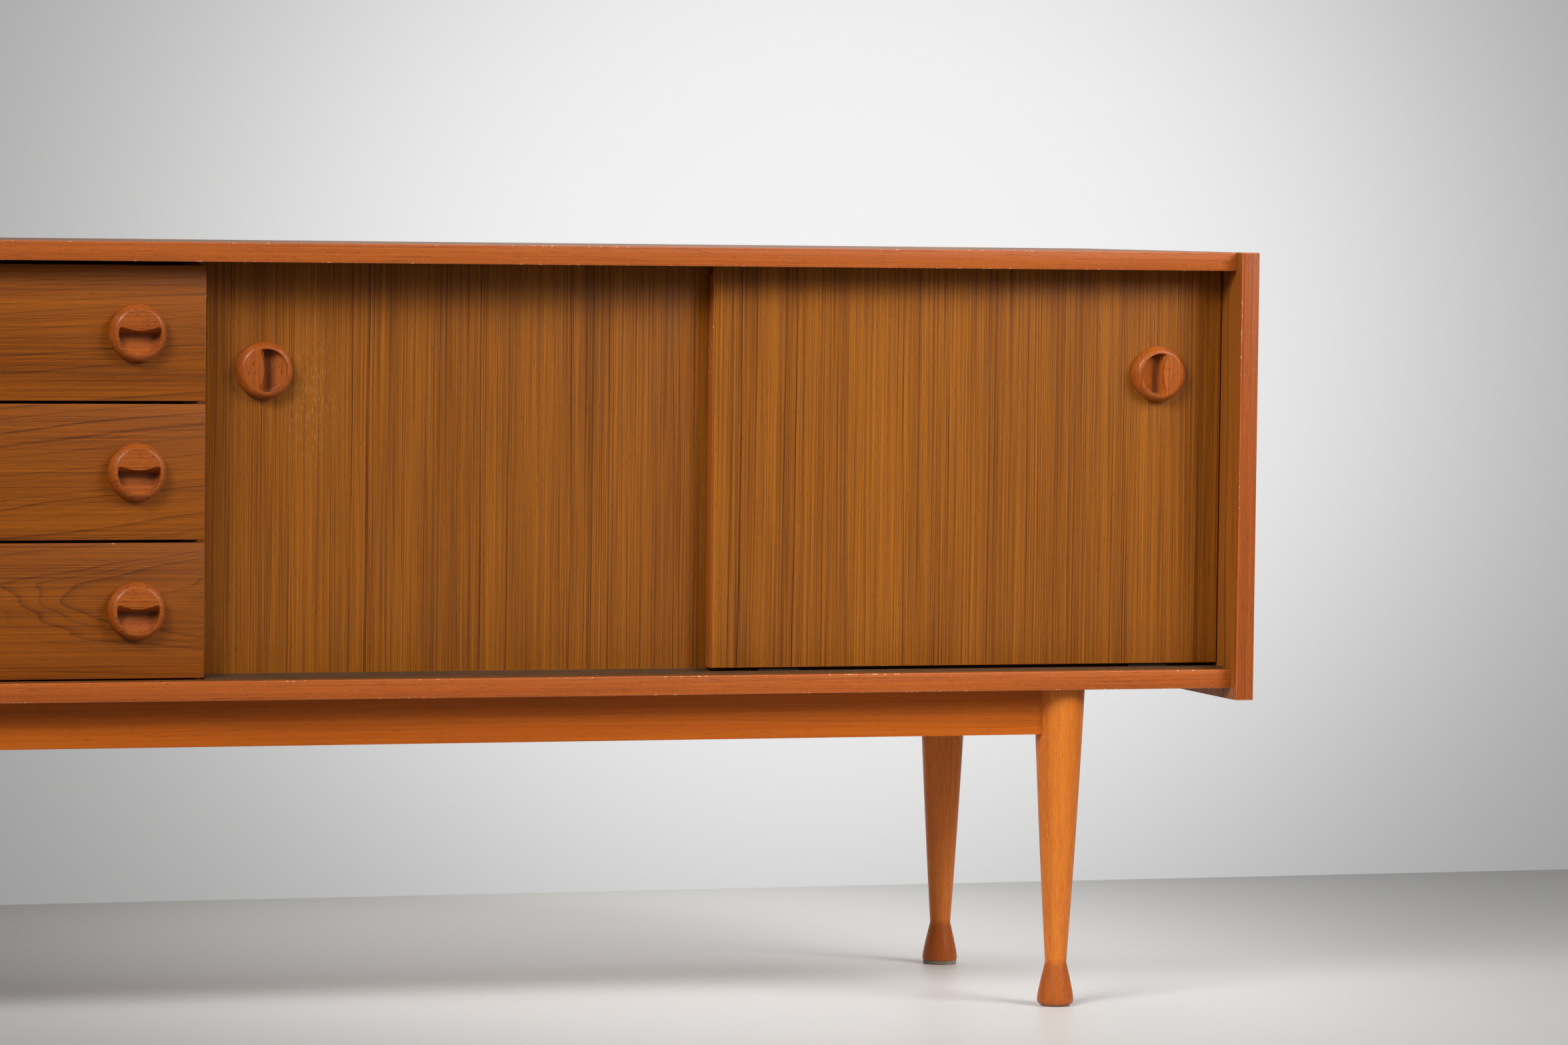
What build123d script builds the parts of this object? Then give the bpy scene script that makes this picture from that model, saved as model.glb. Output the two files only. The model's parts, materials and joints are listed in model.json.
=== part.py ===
from build123d import *
import os

# Sideboard on four turned legs: a long case with a sliding-door cupboard on the right, three
# drawers in the middle and a hinged cupboard on the left.
# Millimetres. Origin on the floor under the middle of the case. +X to the right as seen from
# the front, +Y towards the back, +Z up. The front faces -Y.

os.makedirs("parts", exist_ok=True)

# ---------------------------------------------------------------- driving dimensions
overall_length = 2100.0
overall_depth = 500.0
overall_height = 735.0
floor_clearance = 300.0        # floor to the lower edge of the side panels
board = 18.0                   # sides, top, bottom, dividers and drawer fronts
lipping = 6.0                  # solid strip on the front edge of each carcass board
bottom_lift = 11.0             # underside of the bottom board above the side panels' lower edge
board_setback = 14.0           # top and bottom boards behind the front edges of the sides
front_setback = 38.0           # drawer fronts and hinged door behind the front of the sides
arris = 1.0                    # rounding of the lippings' outer edges

# back, shelves
back_thickness = 4.0
back_inset = 10.0              # front face of the back sheets from the rear of the sides
back_rebate = 6.0              # how far the back sheets enter the sides
shelf_thickness = 16.0
shelf_height = 191.0           # underside of a shelf above the bottom board
shelf_end_gap = 0.5
shelf_back_gap = 5.0
pin_diameter = 5.0
pin_length = 16.0
pin_from_edge = 45.0
shelf_setback = 15.0           # front of a shelf behind the divider or the rear sliding door

# sliding doors
sliding_door_thickness = 16.0
sliding_door_setback = 50.5    # front face of the front sliding door behind the sides' front
sliding_door_gap = 2.5         # between the two doors
sliding_side_gap = 1.5         # door edge to side panel or divider when closed
sliding_overlap = 25.0
edge_strip = 0.8               # veneered edge on each upright edge of a sliding door
front_door_lift = 4.5          # bottom of the front door above the bottom board
rear_door_lift = 2.8
tongue_thickness = 6.5
tongue_shoulder = 8.0          # shoulder of the tongue below the top board
tongue_entry = 6.0             # how far the tongue stands in its groove
groove_depth = 8.0
groove_clearance = 1.0
track_base = 0.6
track_flange = 1.6
track_rib = 3.1
track_front = 35.0             # front of the track behind the sides' front
track_lip = 4.0
glide_length = 40.0
glide_width = 9.0
glide_socket = 10.0
glide_from_edge = 70.0
glide_clearance = 0.3

# drawers
drawer_count = 3
drawer_gap = 2.8               # between one drawer front and the next
drawer_gap_bottom = 1.7
drawer_gap_top = 3.5
meeting_gap = 1.5              # drawer front or door to the middle line of the left divider
face_gap = 0.5                 # back of a front or door to the divider behind it
drawer_side = 13.0
drawer_side_gap = 1.0
drawer_side_drop = 12.0        # drawer box below the top and above the bottom of its front
drawer_back = 12.0
drawer_rear_space = 40.0       # drawer box to the back sheet
drawer_base = 4.0
base_entry = 4.0
base_lift = 8.0
fit_gap = 0.1
runner_height = 14.0
runner_entry = 7.5
runner_play = 0.5
runner_front_space = 25.0

# knobs
knob_diameter = 55.0
knob_height = 13.0
knob_side = 2.0
knob_round_width = 7.0
pocket_radius = 20.0
pocket_depth = 9.0
lip_rise = 5.0                 # lip of the finger pocket above the knob's middle
lip_bulge = 2.0
pocket_corner = 3.5
pocket_trough = -1.0           # height of the pocket's deepest line from the knob's middle
pocket_trough_round = 2.0
pocket_rim_depth = 1.0
drawer_knob_inset = 65.0
right_knob_inset = 66.0
left_knob_inset = 60.0
door_knob_height = 616.0

# hinged door and its hinges
hinge_gap = 2.4                # door edge to side panel
hinge_leaf = 1.0
hinge_length = 50.0
hinge_leaf_width = 24.0
barrel_radius = 2.6
barrel_gap = 0.4               # barrel in front of the door's face
hinge_pin_radius = 1.2
pin_running_gap = 0.05
knuckle_gap = 0.3
hinge_from_end = 70.0

# base frame and legs
leg_inset = 182.0              # leg axis from the outer face of a side
front_leg_setback = 51.0
rear_leg_setback = 103.0
rail_height = 45.0
rail_thickness = 20.0
rail_joint_gap = 0.2
tenon_thickness = 8.0
tenon_margin = 7.0
tenon_depth = 14.0
leg_top_radius = 24.8
ankle_radius = 10.4
ankle_height = 43.0
leg_bow = 0.8                  # swelling of the taper halfway up
foot_radius = 17.8
foot_height = 6.0
front_pad_thickness = 1.5
front_pad_radius = 14.0
rear_pad_thickness = 4.0
rear_pad_radius = 17.0

# ---------------------------------------------------------------- planes worked out from them
outer = overall_length / 2
inner = outer - board
front = -overall_depth / 2
rear = overall_depth / 2
back_plane = rear - back_inset
ceiling = overall_height - board
underside = floor_clearance + bottom_lift
deck = underside + board
board_front = front + board_setback
face = front + front_setback
face_back = face + board
divider_front = face_back + face_gap

clear_length = 2 * inner - 2 * board
sliding_clear = clear_length / 2
drawer_clear = clear_length / 4
right_divider_x = inner - sliding_clear - board
left_divider_x = right_divider_x - drawer_clear - board
sliding_left = right_divider_x + board
meeting_line = left_divider_x + board / 2

door_width = (sliding_clear - 2 * sliding_side_gap + sliding_overlap) / 2
right_door_x = inner - sliding_side_gap - door_width
left_door_x = sliding_left + sliding_side_gap
front_door_y = front + sliding_door_setback
rear_door_y = front_door_y + sliding_door_thickness + sliding_door_gap

drawer_left = meeting_line + meeting_gap
drawer_right = sliding_left
drawer_front_height = (
    ceiling - deck - drawer_gap_top - drawer_gap_bottom - (drawer_count - 1) * drawer_gap
) / drawer_count
box_left = left_divider_x + board + drawer_side_gap
box_right = right_divider_x - drawer_side_gap
box_rear = back_plane - drawer_rear_space

leg_x = outer - leg_inset
front_leg_y = front + front_leg_setback
rear_leg_y = rear - rear_leg_setback
rail_bottom = underside - rail_height

hinge_x = -inner + hinge_gap + hinge_leaf / 2 - fit_gap
hinge_y = face - barrel_gap - barrel_radius
hinged_left = -inner + hinge_gap
hinged_right = meeting_line - meeting_gap
hinged_bottom = deck + drawer_gap_bottom
hinged_top = ceiling - drawer_gap_top


# ---------------------------------------------------------------- small helpers
def slab(x, y, z):
    """A box between the low and high values given for each axis."""
    size = Box(x[1] - x[0], y[1] - y[0], z[1] - z[0])
    return Pos((x[0] + x[1]) / 2, (y[0] + y[1]) / 2, (z[0] + z[1]) / 2) * size


def rod_x(x, y, z, radius):
    """A cylinder along X from x[0] to x[1]."""
    turned = Rot(0, 90, 0) * Cylinder(radius, x[1] - x[0])
    return Pos((x[0] + x[1]) / 2, y, z) * turned


def rod_y(x, y, z, radius):
    """A cylinder along Y from y[0] to y[1]."""
    turned = Rot(90, 0, 0) * Cylinder(radius, y[1] - y[0])
    return Pos(x, (y[0] + y[1]) / 2, z) * turned


def rod_z(x, y, z, radius):
    """A cylinder along Z from z[0] to z[1]."""
    return Pos(x, y, (z[0] + z[1]) / 2) * Cylinder(radius, z[1] - z[0])


def spread(low, high, count):
    """Evenly spaced places from low to high, both included."""
    step = (high - low) / (count - 1)
    return [low + step * i for i in range(count)]


def mirror_x(shape):
    """The same shape on the other side of the case."""
    return mirror(shape, Plane.YZ)


def soften_front(strip, radius=arris):
    """Round the long edges of a lipping's front face."""
    face_edges = strip.faces().sort_by(Axis.Y)[0].edges()
    return fillet(face_edges, radius)


nodes = {}


def keep(name, *solids):
    """Put one or more separate solids into the node of that name."""
    nodes[name] = solids[0] if len(solids) == 1 else Compound(children=list(solids))


# ---------------------------------------------------------------- dowels of the carcass
dowel_radius = 4.0
dowel_length = 32.0
dowel_in_side = 12.0
dowel_count = 5
dowel_hole_gap = 0.05
dowel_margin = 35.0
dowel_places = spread(rear_door_y + dowel_margin, back_plane - dowel_margin, dowel_count)
top_middle = overall_height - board / 2
bottom_middle = underside + board / 2


def dowels(radius):
    """Dowels between the right-hand side panel and the two long boards."""
    ends = (inner + dowel_in_side - dowel_length, inner + dowel_in_side)
    return [rod_x(ends, y, z, radius) for z in (top_middle, bottom_middle) for y in dowel_places]


# ---------------------------------------------------------------- carcass boards
def pin_places(shelf_front):
    return (shelf_front + pin_from_edge, back_plane - shelf_back_gap - pin_from_edge)


def shelf_pin(x_face, direction, y, radius):
    """A shelf pin half in the board whose face is at x_face and half in the cupboard."""
    half = pin_length / 2
    ends = sorted((x_face - direction * half, x_face + direction * half))
    return rod_x(ends, y, deck + shelf_height - pin_diameter / 2, radius)


right_shelf_front = rear_door_y + sliding_door_thickness + shelf_setback
left_shelf_front = divider_front + shelf_setback
hole_radius = pin_diameter / 2 + fit_gap


def side_panel():
    panel = slab((inner, outer), (front + lipping, rear), (floor_clearance, overall_height))
    rebate_top = ceiling + board / 2
    panel -= slab((inner, inner + back_rebate), (back_plane, rear), (underside, rebate_top))
    for hole in dowels(dowel_radius + dowel_hole_gap):
        panel -= hole
    return panel


def carcass_sides():
    right = side_panel()
    left = mirror_x(side_panel())
    for y in pin_places(right_shelf_front):
        right -= shelf_pin(inner, -1, y, hole_radius)
    for y in pin_places(left_shelf_front):
        left -= shelf_pin(-inner, 1, y, hole_radius)
    keep("right_side_panel", right)
    keep("left_side_panel", left)
    strip = slab((inner, outer), (front, front + lipping), (floor_clearance, overall_height))
    strip = soften_front(strip)
    keep("right_side_lipping", strip)
    keep("left_side_lipping", mirror_x(strip))


def top_board():
    """The top, with a groove under it for each sliding door's tongue and a rebate at the back."""
    panel = slab((-inner, inner), (board_front + lipping, rear), (ceiling, overall_height))
    panel -= slab((-inner, inner), (back_plane, rear), (ceiling, ceiling + board / 2))
    for y in (front_door_y, rear_door_y):
        width = (y - groove_clearance, y + tongue_thickness + groove_clearance)
        panel -= slab((sliding_left, inner), width, (ceiling, ceiling + groove_depth))
    for hole in dowels(dowel_radius + dowel_hole_gap):
        panel -= hole
        panel -= mirror_x(hole)
    keep("top_panel", panel)
    strip = slab((-inner, inner), (board_front, board_front + lipping), (ceiling, overall_height))
    keep("top_lipping", soften_front(strip))


frame_screw_radius = 2.0
frame_screw_head = 4.0
frame_screw_head_height = 3.0
frame_screw_entry = 13.0
screw_counterbore = 12.0
screw_from_leg = 180.0         # first and last screw along a long rail from the leg's axis


def frame_screw_places():
    """Screws that hold the base frame to the bottom board."""
    along = spread(-leg_x + screw_from_leg, leg_x - screw_from_leg, 3)
    places = [(x, y) for y in (front_leg_y, rear_leg_y) for x in along]
    middle = (front_leg_y + rear_leg_y) / 2
    return places + [(-leg_x, middle), (leg_x, middle)]


def frame_screw(x, y, gap=0.0):
    low = rail_bottom + screw_counterbore
    shank = rod_z(x, y, (low, underside + frame_screw_entry), frame_screw_radius + gap)
    head = rod_z(x, y, (low, low + frame_screw_head_height), frame_screw_head + gap)
    return shank + head


def bottom_board():
    panel = slab((-inner, inner), (board_front + lipping, back_plane), (underside, deck))
    for hole in dowels(dowel_radius + dowel_hole_gap):
        panel -= hole
        panel -= mirror_x(hole)
    for x, y in frame_screw_places():
        panel -= frame_screw(x, y, fit_gap)
    keep("bottom_panel", panel)
    strip = slab((-inner, inner), (board_front, board_front + lipping), (underside, deck))
    keep("bottom_lipping", soften_front(strip))


def dividers():
    right = slab((right_divider_x, sliding_left), (divider_front, back_plane), (deck, ceiling))
    for y in pin_places(right_shelf_front):
        right -= shelf_pin(sliding_left, 1, y, hole_radius)
    left_span = (left_divider_x, left_divider_x + board)
    left = slab(left_span, (divider_front, back_plane), (deck, ceiling))
    for y in pin_places(left_shelf_front):
        left -= shelf_pin(left_divider_x, -1, y, hole_radius)
    keep("right_divider", right)
    keep("left_divider", left)


# ---------------------------------------------------------------- back sheets and nails
nail_radius = 0.8
nail_head_radius = 2.2
nail_head = 0.8
nail_entry = 14.0
nail_edge = 4.5
nail_rows = 4
nail_pitch = 160.0
nail_column_margin = 90.0


def nail(x, z):
    """A nail through a back sheet into the board in front of it."""
    outside = back_plane + back_thickness
    shank = rod_y(x, (back_plane - nail_entry, outside), z, nail_radius)
    return shank + rod_y(x, (outside, outside + nail_head), z, nail_head_radius)


def back_sheets():
    """Three thin sheets that meet behind the dividers, nailed along every edge."""
    end = inner + back_rebate - face_gap
    right_line = right_divider_x + board / 2
    spans = {
        "back_panel_left": (-end, meeting_line - face_gap),
        "back_panel_middle": (meeting_line + face_gap, right_line - face_gap),
        "back_panel_right": (right_line + face_gap, end),
    }
    low = underside + face_gap
    high = ceiling + board / 2 - face_gap
    nails = []
    for name, span in spans.items():
        keep(name, slab(span, (back_plane, back_plane + back_thickness), (low, high)))
        first = span[0] + nail_edge
        last = span[1] - nail_edge
        along = spread(first, last, max(2, round((last - first) / nail_pitch)))
        nails += [nail(x, z) for x in along for z in (bottom_middle, high - nail_edge)]
        column = spread(low + nail_column_margin, high - nail_column_margin, nail_rows)
        nails += [nail(x, z) for x in (first, last) for z in column]
    keep("back_nails", *nails)


# ---------------------------------------------------------------- inside the cupboards
def shelves():
    """One shelf in each cupboard, resting on four pins."""
    low = deck + shelf_height
    depth_end = back_plane - shelf_back_gap
    heights = (low, low + shelf_thickness)
    right_span = (sliding_left + shelf_end_gap, inner - shelf_end_gap)
    left_span = (-inner + shelf_end_gap, left_divider_x - shelf_end_gap)
    keep("right_shelf", slab(right_span, (right_shelf_front, depth_end), heights))
    keep("left_shelf", slab(left_span, (left_shelf_front, depth_end), heights))
    pins = []
    radius = pin_diameter / 2
    for y in pin_places(right_shelf_front):
        pins += [shelf_pin(inner, -1, y, radius), shelf_pin(sliding_left, 1, y, radius)]
    for y in pin_places(left_shelf_front):
        pins += [shelf_pin(-inner, 1, y, radius), shelf_pin(left_divider_x, -1, y, radius)]
    keep("shelf_pins", *pins)


def lower_track():
    """A low strip on the bottom board with one channel for each sliding door."""
    ends = (sliding_left + shelf_end_gap, inner - shelf_end_gap)
    first_channel = front_door_y - groove_clearance
    rib_front = front_door_y + sliding_door_thickness + glide_clearance
    rib_back = rear_door_y - glide_clearance
    rear_channel_end = rear_door_y + sliding_door_thickness + groove_clearance
    rear_edge = rear_channel_end + track_lip
    low_front = front + track_front
    track = slab(ends, (low_front, rear_edge), (deck, deck + track_base))
    track += slab(ends, (low_front, first_channel), (deck, deck + track_flange))
    track += slab(ends, (rib_front, rib_back), (deck, deck + track_rib))
    track += slab(ends, (rear_channel_end, rear_edge), (deck, deck + track_rib))
    keep("lower_track", track)


def drawer_levels():
    """Lower edge of each drawer front, from the bottom drawer up."""
    first = deck + drawer_gap_bottom
    return [first + i * (drawer_front_height + drawer_gap) for i in range(drawer_count)]


def drawer_runners():
    """A hardwood runner on the divider at each side of each drawer."""
    ends = (face_back + runner_front_space, box_rear - drawer_back)
    entry = drawer_side_gap + runner_entry
    left_wall = left_divider_x + board
    runners = []
    for level in drawer_levels():
        middle = level + drawer_front_height / 2
        heights = (middle - runner_height / 2, middle + runner_height / 2)
        runners.append(slab((left_wall, left_wall + entry), ends, heights))
        runners.append(slab((right_divider_x - entry, right_divider_x), ends, heights))
    keep("drawer_runners", *runners)


# ---------------------------------------------------------------- legs and base frame
front_sole = (front_pad_radius, front_pad_thickness)
rear_sole = (foot_radius - fit_gap, rear_pad_thickness)


def leg_radius(share):
    """Radius of the tapered part at a share of the way from the ankle to the top."""
    taper = ankle_radius + (leg_top_radius - ankle_radius) * share
    return taper + leg_bow * 4 * share * (1 - share)


def turned_leg(x, y, sole, grow=0.0):
    """A tapered leg on a flared foot, turned about its own axis; grow widens it all over."""
    sole_radius, sole_height = sole
    shares = (1.0, 0.75, 0.5, 0.25, 0.0)
    drop = underside - ankle_height
    side = [(leg_radius(share) + grow, ankle_height + drop * share) for share in shares]
    foot = (foot_radius + grow, foot_height)
    heel = (sole_radius + grow, sole_height)
    with BuildPart() as leg:
        with BuildSketch(Plane.XZ):
            with BuildLine():
                Spline(*side)
                Polyline(side[-1], foot, heel, (0, sole_height), (0, underside), side[0])
            make_face()
        revolve(axis=Axis.Z)
    return Pos(x, y, 0) * leg.part


def tenon(x, y, along, gap=0.0):
    """The end of a rail inside the leg at x, y: along points from the leg down the rail."""
    half = tenon_thickness / 2 + gap
    near = leg_top_radius - tenon_depth - gap
    far = leg_top_radius + rail_joint_gap
    heights = (rail_bottom + tenon_margin - gap, underside - tenon_margin + gap)
    if along[0]:
        return slab(sorted((x + along[0] * near, x + along[0] * far)), (y - half, y + half), heights)
    return slab((x - half, x + half), sorted((y + along[1] * near, y + along[1] * far)), heights)


def legs():
    for side, x, inward in (("left", -leg_x, 1), ("right", leg_x, -1)):
        for place, y, across, sole in (
            ("front", front_leg_y, 1, front_sole),
            ("rear", rear_leg_y, -1, rear_sole),
        ):
            leg = turned_leg(x, y, sole)
            leg -= tenon(x, y, (inward, 0), fit_gap)
            leg -= tenon(x, y, (0, across), fit_gap)
            keep(f"{place}_{side}_leg", leg)


def foot_pads():
    pads = []
    for x in (-leg_x, leg_x):
        pads.append(rod_z(x, front_leg_y, (0, front_pad_thickness), front_pad_radius))
        pads.append(rod_z(x, rear_leg_y, (0, rear_pad_thickness), rear_pad_radius))
    keep("foot_pads", *pads)


def base_frame():
    """Four rails between the legs, coped to the legs and tenoned into them."""
    half = rail_thickness / 2
    heights = (rail_bottom, underside)
    for name, y in (("front_rail", front_leg_y), ("rear_rail", rear_leg_y)):
        rail = slab((-leg_x, leg_x), (y - half, y + half), heights)
        for x, inward in ((-leg_x, 1), (leg_x, -1)):
            rail -= turned_leg(x, y, front_sole, rail_joint_gap)
            rail += tenon(x, y, (inward, 0))
        keep(name, drilled(rail))
    for name, x in (("left_rail", -leg_x), ("right_rail", leg_x)):
        rail = slab((x - half, x + half), (front_leg_y, rear_leg_y), heights)
        for y, across in ((front_leg_y, 1), (rear_leg_y, -1)):
            rail -= turned_leg(x, y, front_sole, rail_joint_gap)
            rail += tenon(x, y, (0, across))
        keep(name, drilled(rail))
    keep("frame_screws", *[frame_screw(x, y) for x, y in frame_screw_places()])


def drilled(rail):
    """Counterbored holes through a rail for the screws of the base frame."""
    for x, y in frame_screw_places():
        rail -= frame_screw(x, y, fit_gap)
        rail -= rod_z(x, y, (rail_bottom, rail_bottom + screw_counterbore), frame_screw_head + fit_gap)
    return rail


# ---------------------------------------------------------------- knobs
def knob(x, face_y, z, turn):
    """A turned knob on a face at face_y. Its finger pocket opens below a lip; turn rotates it."""
    body = knob_body() - finger_pocket()
    return Pos(x, face_y, z) * Rot(0, turn, 0) * body


def knob_body():
    """A disc along -Y with a narrow side, a rounded rim and a flat front."""
    radius = knob_diameter / 2
    flat = radius - knob_round_width
    with BuildPart() as disc:
        with BuildSketch(Plane.XY):
            with BuildLine():
                Polyline((0, -knob_height), (0, 0), (radius, 0), (radius, -knob_side))
                rim = (knob_round_width, knob_height - knob_side)
                EllipticalCenterArc((flat, -knob_side), *rim, start_angle=270, arc_size=90)
                Line((flat, -knob_height), (0, -knob_height))
            make_face()
        revolve(axis=Axis.Y)
    return disc.part


def finger_pocket():
    """A scoop: straight sides on a D outline, deepest just under the lip, shallow at the rim."""
    reach = pocket_radius + 1
    lip_end = lip_rise + lip_bulge
    with BuildSketch(Plane.XZ) as outline:
        with BuildLine():
            lip = ThreePointArc((-reach, lip_end), (0, lip_rise), (reach, lip_end))
            Polyline(lip @ 1, (reach, -reach), (-reach, -reach), lip @ 0)
        make_face()
        Circle(pocket_radius, mode=Mode.INTERSECT)
        fillet(outline.vertices(), pocket_corner)
    walls = extrude(outline.sketch, amount=2 * knob_height, both=True)
    outside = -knob_height - 1
    with BuildPart() as scoop:
        with BuildSketch(Plane.YZ):
            Polygon(
                (outside, lip_end + 1),
                (-knob_height + pocket_depth, pocket_trough),
                (-knob_height + pocket_rim_depth, -reach),
                (outside, -reach),
                align=None,
            )
        extrude(amount=knob_diameter, both=True)
        deepest = scoop.edges().filter_by(Axis.X).sort_by(Axis.Y)[-1]
        fillet(deepest, pocket_trough_round)
    return walls & scoop.part


POCKET_DOWN = 0
POCKET_LEFT = 90
POCKET_RIGHT = -90


# ---------------------------------------------------------------- sliding doors
def door_slice(x, y, low):
    """The section of a sliding door, full thickness below its shoulder and a tongue above."""
    shoulder = ceiling - tongue_shoulder
    leaf = slab(x, (y, y + sliding_door_thickness), (low, shoulder))
    return leaf + slab(x, (y, y + tongue_thickness), (shoulder, ceiling + tongue_entry))


def sliding_door(side, x, y, lift, knob_x, turn):
    low = deck + lift
    right_edge = x + door_width
    panel = door_slice((x + edge_strip, right_edge - edge_strip), y, low)
    middle_y = y + sliding_door_thickness / 2
    width = (middle_y - glide_width / 2, middle_y + glide_width / 2)
    heights = (deck + track_base + glide_clearance, low + glide_socket)
    glides = []
    for middle in (x + glide_from_edge, right_edge - glide_from_edge):
        span = (middle - glide_length / 2, middle + glide_length / 2)
        glides.append(slab(span, width, heights))
        panel -= slab(span, width, heights)
    keep(f"{side}_door_panel", panel)
    left_strip = door_slice((x, x + edge_strip), y, low)
    right_strip = door_slice((right_edge - edge_strip, right_edge), y, low)
    keep(f"{side}_door_edges", left_strip, right_strip)
    keep(f"{side}_door_glides", *glides)
    keep(f"{side}_door_knob", knob(knob_x, y, door_knob_height, turn))


def sliding_doors():
    """The right door runs in the front channel, the left one in the rear channel."""
    right_knob_x = right_door_x + door_width - right_knob_inset
    left_knob_x = left_door_x + left_knob_inset
    sliding_door("right", right_door_x, front_door_y, front_door_lift, right_knob_x, POCKET_LEFT)
    sliding_door("left", left_door_x, rear_door_y, rear_door_lift, left_knob_x, POCKET_RIGHT)


# ---------------------------------------------------------------- hinged door
hinge_levels = (hinged_bottom + hinge_from_end, hinged_top - hinge_from_end - hinge_length)
knuckle_length = hinge_length / 3
barrel_clearance = 0.4


def hinge_knuckle(low, high):
    return rod_z(hinge_x, hinge_y, (low, high), barrel_radius)


def frame_leaf(level):
    """The leaf on the side panel, with the outer two knuckles."""
    top = level + hinge_length
    plate_x = (-inner, -inner + hinge_leaf)
    behind = hinge_y + barrel_radius + barrel_clearance
    plate = slab(plate_x, (behind, hinge_y + hinge_leaf_width), (level, top))
    for low, high in ((level, level + knuckle_length), (top - knuckle_length, top)):
        plate += slab(plate_x, (hinge_y, behind), (low, high))
        knuckle = hinge_knuckle(low, high)
        plate += knuckle - slab((-outer, -inner), (hinge_y - board, hinge_y + board), (low, high))
    return plate - rod_z(hinge_x, hinge_y, (level, top), hinge_pin_radius)


def door_leaf(level):
    """The leaf on the door's edge, with the middle knuckle."""
    top = level + hinge_length
    plate_x = (hinged_left - hinge_leaf, hinged_left)
    behind = hinge_y + barrel_radius + barrel_clearance
    plate = slab(plate_x, (behind, hinge_y + hinge_leaf_width), (level, top))
    low = level + knuckle_length + knuckle_gap
    high = top - knuckle_length - knuckle_gap
    plate += slab(plate_x, (hinge_y, behind), (low, high)) + hinge_knuckle(low, high)
    return plate - rod_z(hinge_x, hinge_y, (level, top), hinge_pin_radius + pin_running_gap)


def hinges():
    keep("hinge_frame_leaves", *[frame_leaf(level) for level in hinge_levels])
    keep("hinge_door_leaves", *[door_leaf(level) for level in hinge_levels])
    tops = [(level, level + hinge_length) for level in hinge_levels]
    keep("hinge_pins", *[rod_z(hinge_x, hinge_y, ends, hinge_pin_radius) for ends in tops])


catch_from_edge = 60.0
catch_size = (40.0, 14.0, 12.0)
catch_plate_size = (30.0, 1.0, 11.0)
catch_gap = 0.3
catch_plate_top_gap = 1.0


def hinged_door():
    """The left cupboard's door, with a magnetic catch under the top board."""
    door = slab((hinged_left, hinged_right), (face, face_back), (hinged_bottom, hinged_top))
    keep("hinged_door_panel", door)
    knob_x = hinged_right - drawer_knob_inset
    keep("hinged_door_knob", knob(knob_x, face, door_knob_height, POCKET_LEFT))
    x = hinged_right - catch_from_edge
    plate_back = face_back + catch_plate_size[1]
    plate_x = (x - catch_plate_size[0] / 2, x + catch_plate_size[0] / 2)
    plate_z = (hinged_top - catch_plate_size[2], hinged_top - catch_plate_top_gap)
    keep("catch_plate", slab(plate_x, (face_back, plate_back), plate_z))
    catch_x = (x - catch_size[0] / 2, x + catch_size[0] / 2)
    catch_y = (plate_back + catch_gap, plate_back + catch_gap + catch_size[1])
    keep("door_catch", slab(catch_x, catch_y, (ceiling - catch_size[2], ceiling)))


# ---------------------------------------------------------------- drawers
def drawer(name, level):
    """A front with two knobs on an open box whose sides are grooved for the runners."""
    top = level + drawer_front_height
    box = (level + drawer_side_drop, top - drawer_side_drop)
    base = (box[0] + base_lift, box[0] + base_lift + drawer_base)
    base_gap = (base[0] - fit_gap, base[1] + fit_gap)
    base_x = (box_left + drawer_side - base_entry, box_right - drawer_side + base_entry)
    groove_x = (base_x[0] - fit_gap, base_x[1] + fit_gap)

    panel = slab((drawer_left, drawer_right), (face, face_back), (level, top))
    panel -= slab(groove_x, (face_back - base_entry, face_back), base_gap)
    keep(f"{name}_drawer_front", panel)

    middle = (level + top) / 2
    half = runner_height / 2 + runner_play
    channel_start = face_back + runner_front_space - 2 * runner_play
    channel = ((channel_start, box_rear), (middle - half, middle + half))
    entry = runner_entry + runner_play
    length = (face_back, box_rear)
    left = slab((box_left, box_left + drawer_side), length, box)
    left -= slab((box_left, box_left + entry), *channel)
    left -= slab(groove_x, length, base_gap)
    right = slab((box_right - drawer_side, box_right), length, box)
    right -= slab((box_right - entry, box_right), *channel)
    right -= slab(groove_x, length, base_gap)
    keep(f"{name}_drawer_sides", left, right)

    inside = (box_left + drawer_side, box_right - drawer_side)
    back = slab(inside, (box_rear - drawer_back, box_rear), (base_gap[1], box[1] - base_lift))
    keep(f"{name}_drawer_back", back)
    keep(f"{name}_drawer_base", slab(base_x, (face_back - base_entry + fit_gap, box_rear), base))

    places = (drawer_left + drawer_knob_inset, drawer_right - drawer_knob_inset)
    keep(f"{name}_drawer_knobs", *[knob(x, face, middle, POCKET_DOWN) for x in places])


# ---------------------------------------------------------------- make and write everything
carcass_sides()
top_board()
bottom_board()
dividers()
right_dowels = dowels(dowel_radius)
keep("carcass_dowels", *right_dowels, *[mirror_x(dowel) for dowel in right_dowels])
back_sheets()
shelves()
lower_track()
drawer_runners()
legs()
foot_pads()
base_frame()
sliding_doors()
hinges()
hinged_door()
for drawer_name, drawer_level in zip(("bottom", "middle", "top"), drawer_levels()):
    drawer(drawer_name, drawer_level)

for node_name, shape in nodes.items():
    export_step(shape, f"parts/{node_name}.step")
print(len(nodes), "nodes written")
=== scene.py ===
# %% [markdown]
# # A long sideboard on turned legs
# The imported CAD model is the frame: every board, door, drawer and leg already stands where it belongs.
# This lesson gives it its looks. Veneers, stained edges and turned parts get their finish from node
# materials, and the parts that a hand has rounded or worn are modelled again with softer edges.

# %% Load the frame
import json
import math

import bmesh
import bpy
from mathutils import Matrix, Vector


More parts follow.
